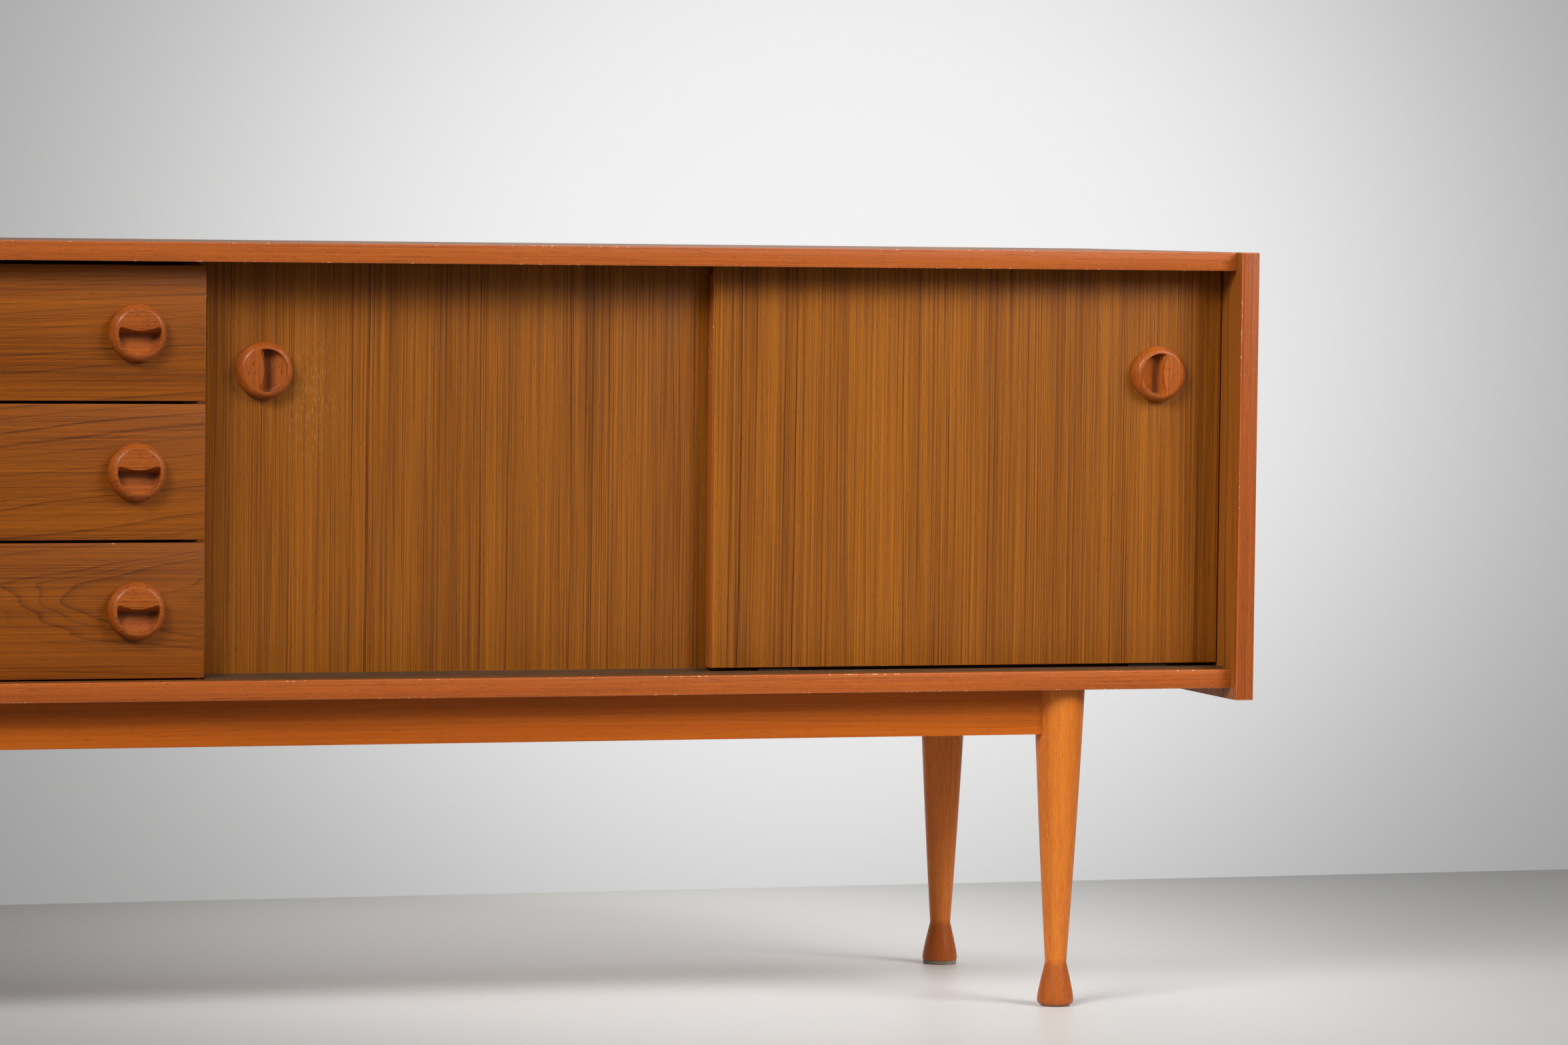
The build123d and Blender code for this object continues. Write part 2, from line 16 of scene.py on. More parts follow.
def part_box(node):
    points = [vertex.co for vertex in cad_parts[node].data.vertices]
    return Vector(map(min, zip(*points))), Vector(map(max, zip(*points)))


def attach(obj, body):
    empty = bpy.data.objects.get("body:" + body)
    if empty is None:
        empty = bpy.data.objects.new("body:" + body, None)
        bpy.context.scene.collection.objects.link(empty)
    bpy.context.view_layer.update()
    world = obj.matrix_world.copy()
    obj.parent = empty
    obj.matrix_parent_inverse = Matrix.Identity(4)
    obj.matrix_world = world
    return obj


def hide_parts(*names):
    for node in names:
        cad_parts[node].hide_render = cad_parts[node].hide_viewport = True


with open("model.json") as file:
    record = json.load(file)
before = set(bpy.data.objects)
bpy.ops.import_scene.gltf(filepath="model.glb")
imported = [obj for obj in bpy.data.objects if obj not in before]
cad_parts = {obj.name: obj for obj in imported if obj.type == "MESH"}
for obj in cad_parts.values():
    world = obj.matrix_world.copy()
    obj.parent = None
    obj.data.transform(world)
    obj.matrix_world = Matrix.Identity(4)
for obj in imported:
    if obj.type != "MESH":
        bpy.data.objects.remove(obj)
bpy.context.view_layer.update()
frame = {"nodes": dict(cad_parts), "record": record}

# %% [markdown]
# ## Helpers for materials
# Colours are picked as sRGB hex values, the way a paint chart gives them, and turned to the linear
# values that Cycles works in. One helper adds a node, sets its menus and joins its inputs, so each
# material below reads as a short list of nodes. Sizes are written in millimetres and multiplied by MM.

# %% Colour and node helpers
MM = 0.001


def linear(hex_value, alpha=1.0):
    """An sRGB hex colour as linear red, green, blue and alpha."""
    channels = [int(hex_value[i:i + 2], 16) / 255 for i in (1, 3, 5)]
    return tuple(c / 12.92 if c <= 0.04045 else ((c + 0.055) / 1.055) ** 2.4 for c in channels) + (alpha,)


def add(tree, kind, inputs=None, out=None, **menus):
    """Add a node and join its inputs. It gives back the node, or the output that out names."""
    made = tree.nodes.new("ShaderNode" + kind)
    for menu, value in menus.items():
        setattr(made, menu, value)
    for socket, value in (inputs or {}).items():
        if isinstance(value, bpy.types.NodeSocket):
            tree.links.new(value, made.inputs[socket])
        else:
            made.inputs[socket].default_value = value
    return made if out is None else made.outputs[out]


def new_material(name):
    """An empty node material with its output and a Principled shader joined."""
    material = bpy.data.materials.new(name)
    material.use_nodes = True
    tree = material.node_tree
    tree.nodes.clear()
    shader = add(tree, "BsdfPrincipled")
    add(tree, "OutputMaterial", {"Surface": shader.outputs["BSDF"]})
    return material, tree, shader


print("the grey #808080 is", round(linear("#808080")[0], 3), "in linear light")

# %% [markdown]
# ## Fibres and pores
# Everything in wood is drawn out along the grain: fibres run for a hand's width, pores are short dashes.
# Each could have a texture of its own, but one noise serves for all of them, squeezed across the grain
# and stretched along it. Where the size of a mark is known in millimetres, its scale follows from that.

# %% Stretched noise
AXES = {"X": 0, "Y": 1, "Z": 2}


def stretched(tree, along, across_mm, along_mm, detail=2.0, rough=0.5, shift=0.0, out="Fac"):
    """Noise whose grains are across_mm wide and along_mm long; shift keeps two patterns apart."""
    scale = [1 / (across_mm * MM)] * 3
    scale[AXES[along]] = 1 / (along_mm * MM)
    place = add(tree, "TexCoord", out="Object")
    moved = add(tree, "Mapping", {"Vector": place, "Scale": scale, "Location": (shift, shift * 0.7, 0)},
                out=0)
    return add(tree, "TexNoise", {"Vector": moved, "Scale": 1.0, "Detail": detail, "Roughness": rough},
               out=out)


# %% [markdown]
# ## Growth rings, as a slice through a log
# A board shows its log's growth rings, cut lengthways. So the pattern is the distance from the log's
# heart, measured across the grain, and split into rings. With the heart far off to one side the
# rings show as straight lines, as on quarter-cut veneer. With the heart close behind the face they
# spread into tongue shapes. A Wave texture would draw rings too, but all alike: a real ring darkens
# slowly and ends sharply, and each has its own width and strength.

# %% Distance from the heart of the log
def from_the_heart(tree, along, heart, tilt, wander):
    """How far each point is from the heart of a slightly bent log, in metres."""
    place = add(tree, "TexCoord", out="Object")
    bend = stretched(tree, along, 60, 500, out="Color")
    bend = add(tree, "VectorMath", {0: bend, 1: (0.5, 0.5, 0.5)}, out=0, operation="SUBTRACT")
    bend = add(tree, "VectorMath", {0: bend, "Scale": wander * MM * 4}, out=0, operation="SCALE")
    bent = add(tree, "VectorMath", {0: place, 1: bend}, out=0, operation="ADD")
    offset = add(tree, "VectorMath", {0: bent, 1: [c * MM for c in heart]}, out=0, operation="SUBTRACT")
    turned_log = add(tree, "Mapping", {"Vector": offset, "Rotation": [math.radians(t) for t in tilt]},
                     out=0)
    flatten = [1.0, 1.0, 1.0]
    flatten[AXES[along]] = 0.0
    across = add(tree, "VectorMath", {0: turned_log, 1: flatten}, out=0, operation="MULTIPLY")
    return add(tree, "VectorMath", {0: across}, out="Value", operation="LENGTH")


# %% Rings of late wood
def late_wood(tree, distance, ring):
    """1 on the dark end of a strong ring, 0 between rings. ring is the usual width of a year in mm."""
    seasons = add(tree, "Math", {0: distance, 1: 1 / (ring * 4 * MM)}, out=0, operation="MULTIPLY")
    seasons = add(tree, "TexNoise", {"W": seasons, "Scale": 1.0, "Detail": 2.0}, out="Fac",
                  noise_dimensions="1D")
    seasons = add(tree, "Math", {0: seasons, 1: 5.0}, out=0, operation="MULTIPLY")
    even = add(tree, "Math", {0: distance, 1: 1 / (ring * MM)}, out=0, operation="MULTIPLY")
    count = add(tree, "Math", {0: even, 1: seasons}, out=0, operation="ADD")
    year = add(tree, "Math", {0: count}, out=0, operation="FLOOR")
    within = add(tree, "Math", {0: count}, out=0, operation="FRACT")
    rise = add(tree, "Math", {0: within, 1: 5.0}, out=0, operation="POWER")
    fall = add(tree, "MapRange", {"Value": within, "From Min": 0.93, "From Max": 1.0,
               "To Min": 1.0, "To Max": 0.0}, out=0)
    strength = add(tree, "TexWhiteNoise", {"W": year}, out="Value", noise_dimensions="1D")
    strength = add(tree, "Math", {0: strength, 1: 2.0}, out=0, operation="POWER")
    strength = add(tree, "Math", {0: strength, 1: 0.9, 2: 0.15}, out=0, operation="MULTIPLY_ADD")
    shape = add(tree, "Math", {0: rise, 1: fall}, out=0, operation="MULTIPLY")
    return add(tree, "Math", {0: shape, 1: strength}, out=0, operation="MULTIPLY")


# %% [markdown]
# ## Layers over the plain wood
# Age, handling and painted shade lie over the grain: ray flecks in beech, painted shade deep in the
# knobs' pockets, a second coat on the feet, fingernail scratches beside a knob, and stain rubbed off the
# edges. Each layer is a mask between 0 and 1 that mixes one more colour in. The pockets and the edges are
# marked on the mesh, as attributes, so their masks follow the shape.

# %% Flecks, pockets and feet
def ray_flecks(tree, along, colour, flecks):
    """Short pale dashes where the rays of the wood reach the surface."""
    fleck_colour, across_mm, along_mm, amount = flecks
    ray = stretched(tree, along, across_mm, along_mm, detail=1.0, shift=17.0)
    ray = add(tree, "MapRange", {"Value": ray, "From Min": 0.6, "From Max": 0.75, "To Max": amount}, out=0)
    return add(tree, "Mix", {"Factor": ray, "A": colour, "B": linear(fleck_colour)}, out="Result",
               data_type="RGBA")


def painted_pocket_shade(tree, colour, shade_colour):
    """Painted shade: the colour darkens towards the pocket's deepest part, where shade falls."""
    depth = add(tree, "Attribute", out="Fac", attribute_name="pocket_shading")
    depth = add(tree, "MapRange", {"Value": depth, "From Min": 0.45, "From Max": 0.92, "To Max": 0.8},
                out=0)
    return add(tree, "Mix", {"Factor": depth, "A": colour, "B": linear(shade_colour)}, out="Result",
               data_type="RGBA")


def dipped_foot(tree, colour, dipped):
    """Below a height the wood has had a second coat; the brush left a soft line, 8 mm wide."""
    dip_height, dip_colour = dipped
    place = add(tree, "TexCoord", out="Object")
    height = add(tree, "SeparateXYZ", {0: place}, out="Z")
    below = add(tree, "MapRange", {"Value": height, "From Min": dip_height + 4 * MM,
                "From Max": dip_height - 4 * MM}, out=0)
    return add(tree, "Mix", {"Factor": below, "A": colour, "B": linear(dip_colour)}, out="Result",
               data_type="RGBA", blend_type="MULTIPLY")


# %% Scratches and worn edges
CHIPS_PER_METRE = 260.0       # a chip is about 4 mm long
WORN_STRETCHES_PER_METRE = 14.0
print("a chip is about", round(1000 / CHIPS_PER_METRE, 1), "mm long")


def rubbed_patch(tree, along, colour, rubbed):
    """Fine pale scratches inside an oval round a centre."""
    centre, reach, scratch_colour, amount = rubbed
    place = add(tree, "TexCoord", out="Object")
    away = add(tree, "VectorMath", {0: place, 1: centre}, out=0, operation="SUBTRACT")
    away = add(tree, "VectorMath", {0: away, 1: reach}, out=0, operation="DIVIDE")
    away = add(tree, "VectorMath", {0: away}, out="Value", operation="LENGTH")
    near = add(tree, "MapRange", {"Value": away, "From Min": 1.0, "From Max": 0.2, "To Max": amount}, out=0)
    scratches = stretched(tree, along, 0.9, 9, detail=3.0, rough=0.7, shift=23.0)
    scratches = add(tree, "MapRange", {"Value": scratches, "From Min": 0.54, "From Max": 0.66}, out=0)
    scratches = add(tree, "Math", {0: scratches, 1: near}, out=0, operation="MULTIPLY")
    return add(tree, "Mix", {"Factor": scratches, "A": colour, "B": linear(scratch_colour)},
               out="Result", data_type="RGBA")


def worn_arris(tree, colour, edge):
    """The colour of a handled edge, and pale chips where the stain has come off."""
    edge_colour, chip_colour, chip_share = edge
    arris = add(tree, "Attribute", out="Fac", attribute_name="arris")
    colour = add(tree, "Mix", {"Factor": arris, "A": colour, "B": linear(edge_colour)}, out="Result",
                 data_type="RGBA")
    place = add(tree, "TexCoord", out="Object")
    knocks = add(tree, "TexNoise", {"Vector": place, "Scale": CHIPS_PER_METRE, "Detail": 3.0,
                 "Roughness": 0.6}, out="Fac")
    stretches = add(tree, "TexNoise", {"Vector": place, "Scale": WORN_STRETCHES_PER_METRE,
                    "Detail": 1.0}, out="Fac")
    knocks = add(tree, "Math", {0: stretches, 1: 0.35, 2: knocks}, out=0, operation="MULTIPLY_ADD")
    knocks = add(tree, "MapRange", {"Value": knocks, "From Min": 0.86 - chip_share,
                 "From Max": 0.9 - chip_share}, out=0)
    chips = add(tree, "Math", {0: knocks, 1: arris}, out=0, operation="MULTIPLY")
    return add(tree, "Mix", {"Factor": chips, "A": colour, "B": linear(chip_colour)}, out="Result",
               data_type="RGBA")


# %% [markdown]
# ## A timber material
# The parts come together here: two colours, one for the early and one for the late wood, mixed by rings,
# broad bands and fibres, then the pores, then the layers of age and the painted shade of the pockets. The
# pores also dent the lacquer and make it duller. Lacquer has an index of refraction of 1.5. Its specular
# level is set low, because these old coats are thin and have lost their shine.

# %% The timber material
def timber(name, along, early, late, ring, heart, tilt=(0, 0, 0), wander=2.0, pore="#3A1E0C",
           pore_amount=0.5, pore_size=(0.7, 14), streak=0.5, band=0.35, roughness=0.42, coat=0.0,
           edge=None, flecks=None, rubbed=None, dipped=None, pocket_shading=None):
    """Wood with its grain along X, Y or Z. ring, heart, wander and pore_size are in millimetres."""
    material, tree, shader = new_material(name)
    line = late_wood(tree, from_the_heart(tree, along, heart, tilt, wander), ring)
    bands = stretched(tree, along, 28, 900, detail=3.0, shift=3.0)
    bands = add(tree, "MapRange", {"Value": bands, "From Min": 0.3, "From Max": 0.7}, out=0)
    fibres = stretched(tree, along, 1.0, 260, detail=3.0, rough=0.7, shift=7.0)
    fibres = add(tree, "MapRange", {"Value": fibres, "From Min": 0.35, "From Max": 0.65}, out=0)
    pores = stretched(tree, along, *pore_size, detail=1.0, shift=11.0)
    pores = add(tree, "MapRange", {"Value": pores, "From Min": 0.62, "From Max": 0.72}, out=0)

    # bands and fibres swing about their middle, so that only the rings darken the wood as a whole
    plain = 0.35 - 0.5 * band - 0.5 * streak
    dark = add(tree, "Math", {0: line, 1: 0.9, 2: plain}, out=0, operation="MULTIPLY_ADD")
    dark = add(tree, "Math", {0: bands, 1: band, 2: dark}, out=0, operation="MULTIPLY_ADD")
    dark = add(tree, "Math", {0: fibres, 1: streak, 2: dark}, out=0, operation="MULTIPLY_ADD")
    colour = add(tree, "Mix", {"Factor": dark, "A": linear(early), "B": linear(late)}, out="Result",
                 data_type="RGBA")
    open_pores = add(tree, "Math", {0: pores, 1: pore_amount}, out=0, operation="MULTIPLY")
    colour = add(tree, "Mix", {"Factor": open_pores, "A": colour, "B": linear(pore)}, out="Result",
                 data_type="RGBA")
    if flecks:
        colour = ray_flecks(tree, along, colour, flecks)
    # painted shade in the knobs' pockets, darkest where they are deepest
    if pocket_shading:
        colour = painted_pocket_shade(tree, colour, pocket_shading)
    if dipped:
        colour = dipped_foot(tree, colour, dipped)
    if rubbed:
        colour = rubbed_patch(tree, along, colour, rubbed)
    if edge:
        colour = worn_arris(tree, colour, edge)

    gloss = add(tree, "Math", {0: fibres, 1: 0.08, 2: roughness - 0.04}, out=0, operation="MULTIPLY_ADD")
    gloss = add(tree, "Math", {0: pores, 1: 0.15, 2: gloss}, out=0, operation="MULTIPLY_ADD")
    dents = add(tree, "Math", {0: pores, 1: -1.0}, out=0, operation="MULTIPLY")
    dents = add(tree, "Math", {0: fibres, 1: 0.3, 2: dents}, out=0, operation="MULTIPLY_ADD")
    relief = add(tree, "Bump", {"Height": dents, "Strength": 0.15, "Distance": 0.2 * MM}, out=0)
    tree.links.new(colour, shader.inputs["Base Color"])
    tree.links.new(gloss, shader.inputs["Roughness"])
    tree.links.new(relief, shader.inputs["Normal"])
    shader.inputs["IOR"].default_value = 1.5
    shader.inputs["Specular IOR Level"].default_value = 0.25
    shader.inputs["Coat Weight"].default_value = coat
    shader.inputs["Coat Roughness"].default_value = 0.25
    return material


# %% [markdown]
# ## Teak veneers
# The doors, drawers and panels are chipboard under teak veneer, sprayed with a semi-matt lacquer. The
# doors use quarter-cut leaves, so their lines run straight up. The drawers use flat-cut leaves that lie
# sideways. Teak's years are 3 to 4 mm wide here, and its pores about a quarter of a millimetre. The pores
# are drawn twice as wide as that, to show at all.

# %% Teak veneers
door_leaf = dict(along="Z", early="#AA6418", late="#4C2004", ring=3.8, heart=(-2600, 150, 0), wander=3.0,
                 roughness=0.45, pore_amount=0.35, streak=0.6, band=0.3, pore_size=(0.5, 9),
                 edge=("#A4571F", "#D8A878", 0.0))
finish = {
    # quarter-cut and upright: to the eye, fine straight lines of red brown on honey brown, a dull sheen
    "door_veneer": timber("teak veneer upright", **door_leaf),
    # flat-cut and lying: the same two browns, in lines that bend and close into tongues
    "drawer_veneer": timber("teak veneer lying", "X", "#A6590A", "#441C03", 3.4, (0, -120, 400),
                            tilt=(0, 3.0, 3.0), wander=5.0, roughness=0.45, pore_amount=0.35, streak=0.6,
                            pore_size=(0.5, 8), edge=("#8E4C1E", "#CFA070", 0.0)),
    # the plainer leaves of top, bottom and shelves: wide quiet bands, a little shinier from polishing
    "panel_veneer": timber("teak panel veneer", "X", "#985B24", "#5E3412", 9.0, (0, -900, 400),
                           wander=4.0, roughness=0.42),
}
# the left sliding door is the one used most: nails have scratched its lacquer to the right of the knob
worn_door = timber("teak veneer upright, worn", **door_leaf,
                   rubbed=((0.126, -0.181, 0.592), (0.036, 1.0, 0.085), "#C29358", 0.6))
# side panels and dividers stand, so their quiet leaves run upright; they catch less polish
upright_panel = timber("teak panel veneer upright", "Z", "#A8621E", "#6A3810", 7.0, (-2400, -900, 0),
                       wander=4.0, roughness=0.45, pore_size=(0.5, 9))
print(len(finish) + 2, "teak veneers")

# %% [markdown]
# ## Solid woods
# The lippings, legs and rails are solid beech, stained to go with the teak. Stain sits evenly on beech,
# so these parts look redder and plainer than the veneer, and the beech's short rays show as pale flecks.
# Rays are half a millimetre wide on the lippings and wider on the round of a leg. The knobs are turned
# from solid teak. Drawer boxes and back sheets are pale wood that nobody was meant to see.

# %% Solid woods
ANKLE_HEIGHT = 43.0 * MM
lipping_edge = ("#B9602E", "#DDB088", 0.055)
# the last colour of the knob wood is painted shade: a dark brown mixed in where the finger pocket is
# deepest
knob_wood = dict(early="#BA6220", late="#702C0A", ring=3.0, wander=4.0, roughness=0.38, coat=0.08,
                 pore_amount=0.75, pore_size=(0.7, 6), pocket_shading="#2E1308")
finish.update({
    # stained beech, planed and sanded: a red-brown strip with fine flecks and pale chips on its edges
    "edge_lipping": timber("stained lipping", "X", "#BC6224", "#904114", 6.0, (0, -300, 900),
                           wander=3.0, roughness=0.4, pore_amount=0.4, streak=0.7,
                           flecks=("#CF8650", 0.5, 5.0, 0.35), edge=lipping_edge),
    # stained beech, turned: bright orange, smooth and nearly without pores, duller on the foot
    "leg_beech": timber("stained beech turned", "Z", "#DC7F2B", "#B2561A", 9.0, (60, 30, 0),
                        tilt=(1.0, 1.5, 0), wander=5.0, roughness=0.32, pore_amount=0.15,
                        flecks=("#EC9A4C", 0.9, 5.0, 0.35), dipped=(ANKLE_HEIGHT, "#D5C6D4")),
    # stained beech, planed: the deep orange rail in the shade of the case
    "rail_beech": timber("stained beech rail", "X", "#CA6614", "#964408", 10.0, (0, -100, 600),
                         wander=5.0, roughness=0.38, pore_amount=0.3),
    # turned and waxed teak: short dark dashes on red brown, a soft highlight round the rim, painted shade
    # deep in the pocket
    "turned_knob": timber("teak knob", "X", heart=(0, -300, 300), **knob_wood),
    # planed pale hardwood, left bare: straw-coloured and dry
    "drawer_box": timber("pale drawer wood", "Y", "#D8BC90", "#BE9B6A", 7.0, (300, 0, 700),
                         roughness=0.55, pore="#8A6A42", pore_amount=0.3),
    # peeled sheets, glued: wide vague figure, quite matt
    "plywood": timber("plywood sheet", "X", "#C4A074", "#A57F52", 8.0, (0, 60, 400),
                      tilt=(0, 2.0, 2.0), wander=10.0, roughness=0.7, pore="#7A5834", pore_amount=0.4),
})
# the side panels' front edges stand, a shade darker than the lying ones
upright_lipping = timber("stained lipping upright", "Z", "#A85520", "#7E3610", 6.0, (-300, 900, 0),
                         wander=3.0, roughness=0.4, pore_amount=0.4, streak=0.7,
                         flecks=("#C07C48", 0.5, 5.0, 0.35), edge=lipping_edge)
# the doors' knobs are the same knobs, turned by a quarter with their grain
knob_upright = timber("teak knob upright", "Z", heart=(-300, 300, 0), **knob_wood)
print(len(finish) + 4, "woods in all")

# %% [markdown]
# ## Plastics, felt and metals
# The track and the glides are moulded brown plastic, the feet stand on pressed felt, the hinges are
# aged brass, and screws, nails and the catch are zinc-plated steel. All are small and plain, so one kind
# of material serves: two close tones in a fine mottle, with a little relief of the same pattern.

# %% Plastics, felt and metals
def mottled(name, hexes, scale_mm, roughness, bump_mm=0.05, metallic=0.0):
    """A moulded, felted or metal surface: fine mottling of two colours with matching relief."""
    material, tree, shader = new_material(name)
    place = add(tree, "TexCoord", out="Object")
    grain = add(tree, "TexNoise", {"Vector": place, "Scale": 1 / (scale_mm * MM), "Detail": 3.0,
                "Roughness": 0.6}, out="Fac")
    wide = add(tree, "TexNoise", {"Vector": place, "Scale": 1 / (scale_mm * 12 * MM), "Detail": 2.0},
               out="Fac")
    share = add(tree, "Math", {0: grain, 1: wide}, out=0, operation="ADD")
    share = add(tree, "MapRange", {"Value": share, "From Min": 0.7, "From Max": 1.3}, out=0)
    rough = add(tree, "MapRange", {"Value": wide, "From Min": 0.3, "From Max": 0.7,
                "To Min": roughness - 0.06, "To Max": roughness + 0.06}, out=0)
    relief = add(tree, "Bump", {"Height": grain, "Strength": 0.4, "Distance": bump_mm * MM}, out=0)
    colour = add(tree, "Mix", {"Factor": share, "A": linear(hexes[0]), "B": linear(hexes[1])},
                 out="Result", data_type="RGBA")
    tree.links.new(colour, shader.inputs["Base Color"])
    tree.links.new(rough, shader.inputs["Roughness"])
    tree.links.new(relief, shader.inputs["Normal"])
    shader.inputs["Metallic"].default_value = metallic
    if not metallic:
        shader.inputs["Specular IOR Level"].default_value = 0.25
    return material


# pressed wool: grey brown, fibrous and without any shine
finish["foot_felt"] = mottled("pressed felt", ("#6E6355", "#94887A"), 0.8, 0.95, bump_mm=0.4)
# extruded plastic, scuffed by the doors: a dull dark brown
finish["track_plastic"] = mottled("brown track plastic", ("#4E341C", "#5E4026"), 1.5, 0.6)
# moulded nylon: nearly black brown, a little smoother
finish["glide_plastic"] = mottled("brown nylon", ("#2E1E14", "#3C291C"), 1.0, 0.5)
# rolled brass that has dulled in the air: warm yellow with browner clouds
finish["brass"] = mottled("aged brass", ("#A8824A", "#C9A566"), 2.0, 0.35, metallic=1.0)
# zinc on steel: light grey, with the fine spangle of the plating
finish["steel"] = mottled("zinc plated steel", ("#8E9092", "#B4B6B8"), 1.0, 0.4, metallic=1.0)
print(len(finish), "slots have a finish")

# %% [markdown]
# ## A finish for every CAD node
# Each node's record names a slot, and the slot names a finish. Panels that stand upright take the veneer
# with the upright grain, because a cabinet maker turns the leaves to run round the case.

# %% Finishes for the CAD nodes
slot_of = {part["node"]: part["material_slot"] for part in frame["record"]["subparts"]}
for name, node_object in frame["nodes"].items():
    node_object.data.materials.clear()
    upright = name.endswith("side_panel") or name.endswith("divider")
    node_object.data.materials.append(upright_panel if upright else finish[slot_of[name]])
print(len(slot_of), "CAD nodes given their finish")

# %% [markdown]
# ## Making a piece
# Every new piece starts from nothing selected, because an operator acts on all that is selected. A
# finished piece keeps its place in its mesh, takes its finish from a slot of the record, rides on its
# body, and stands for the CAD nodes it replaces. Faces are picked in code, by where they are.

# %% Piece helpers
def clear_selection():
    """Leave edit mode and let go of everything."""
    if bpy.context.object and bpy.context.object.mode != "OBJECT":
        bpy.ops.object.mode_set(mode="OBJECT")
    bpy.ops.object.select_all(action="DESELECT")


def settle():
    """Apply place, turn and size, so that the object sits at the origin."""
    bpy.ops.object.transform_apply(location=True, rotation=True, scale=True)


def choose(piece, what, test):
    """In edit mode, select the faces, edges or vertices that pass a test, and nothing else."""
    bpy.ops.mesh.select_mode(type={"faces": "FACE", "edges": "EDGE", "verts": "VERT"}[what])
    bpy.ops.mesh.select_all(action="DESELECT")
    shape = bmesh.from_edit_mesh(piece.data)
    for item in getattr(shape, what):
        if test(item):
            item.select_set(True)
    shape.select_flush_mode()
    bmesh.update_edit_mesh(piece.data)


def mark_arris(piece, test=lambda face: False):
    """Give each face a number: 1 on the slanting faces of eased edges, or where a test says so."""
    marks = piece.data.attributes.new("arris", "FLOAT", "FACE")
    for face in piece.data.polygons:
        slanting = max(abs(part) for part in face.normal) < 0.999
        marks.data[face.index].value = 1.0 if slanting or test(face) else 0.0


def complete(piece, name, body, slot, nodes=(), material=None):
    piece.name = name
    piece.data.materials.clear()
    piece.data.materials.append(material or finish[slot])
    if nodes:
        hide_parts(*nodes)
    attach(piece, body)
    return piece


# %% [markdown]
# ## Boards with eased edges
# On the real case every visible board has had its sharp corners taken off with a fine paper, and that
# is where the stain wears through first. The CAD boards have sharp corners and loose triangles, which
# don't bevel well. So each board starts as a cube of the CAD board's size, and its edges are bevelled.
# The bevel's faces are marked, so the finish can show them as worn wood.

# %% Eased boards
EASE = 0.8 * MM
SMOOTH_BELOW = math.radians(40)     # faces that meet flatter than this are shaded as one surface


def block(low, high):
    """A plain block between two corners, active and selected."""
    clear_selection()
    low, high = Vector(low), Vector(high)
    bpy.ops.mesh.primitive_cube_add(size=1.0, location=(low + high) / 2, scale=high - low)
    settle()
    return bpy.context.object


def ease_edges(piece, width=EASE, test=lambda edge: True):
    """Round the edges that pass a test, as a few strokes with fine paper do."""
    bpy.ops.object.mode_set(mode="EDIT")
    choose(piece, "edges", test)
    bpy.ops.mesh.bevel(offset=width, segments=3, affect="EDGES")
    bpy.ops.object.mode_set(mode="OBJECT")


def eased_board(name, body, slot, node, width=EASE, end_grain=None, material=None):
    """A bevelled block in the place of one CAD board; faces that look along end_grain are edges too."""
    piece = block(*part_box(node))
    ease_edges(piece, width)
    mark_arris(piece, lambda face: end_grain is not None and abs(face.normal[end_grain]) > 0.9)
    bpy.ops.object.shade_smooth_by_angle(angle=SMOOTH_BELOW)
    return complete(piece, name, body, slot, [node], material)


low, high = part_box("right_side_lipping")
print("a side edge measures", [round(side / MM, 1) for side in high - low], "mm")

# %% [markdown]
# ## Lippings, drawer fronts, the hinged door and the shelves
# These are all plain boards, so each is one eased block. Drawer fronts and doors have a thin strip of
# wood glued over the ends of their core, so their end faces are marked as worn edges too.

# %% The eased boards in place
for side in ("left", "right"):
    eased_board(f"{side}_side_edge", "carcass", "edge_lipping", f"{side}_side_lipping",
                material=upright_lipping)
for level in ("top", "bottom"):
    eased_board(f"{level}_board_edge", "carcass", "edge_lipping", f"{level}_lipping")
for level in ("top", "middle", "bottom"):
    eased_board(f"{level}_drawer_face", f"{level}_drawer", "drawer_veneer",
                f"{level}_drawer_front", end_grain=0)
eased_board("hinged_door_leaf", "hinged_door", "door_veneer", "hinged_door_panel", end_grain=0)
for side in ("left", "right"):
    eased_board(f"{side}_shelf_board", "carcass", "panel_veneer", f"{side}_shelf")
low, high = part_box("top_drawer_front")
print("a drawer front measures", [round(side / MM, 1) for side in high - low], "mm")

# %% [markdown]
# ## Sliding doors
# A thin tongue along a sliding door's top edge runs in a groove of the top board, and its lower edge
# stands in a track. The leaf is a block up to its shoulder. Its top face is cut in two along its
# length by a bisecting plane, and the front part is drawn up into the tongue. One block keeps the
# veneer whole from the track to the groove.

# %% Sliding door leaves
TONGUE_THICK, TONGUE_TALL = 6.5 * MM, 14.0 * MM
FINE_EASE = 0.5 * MM


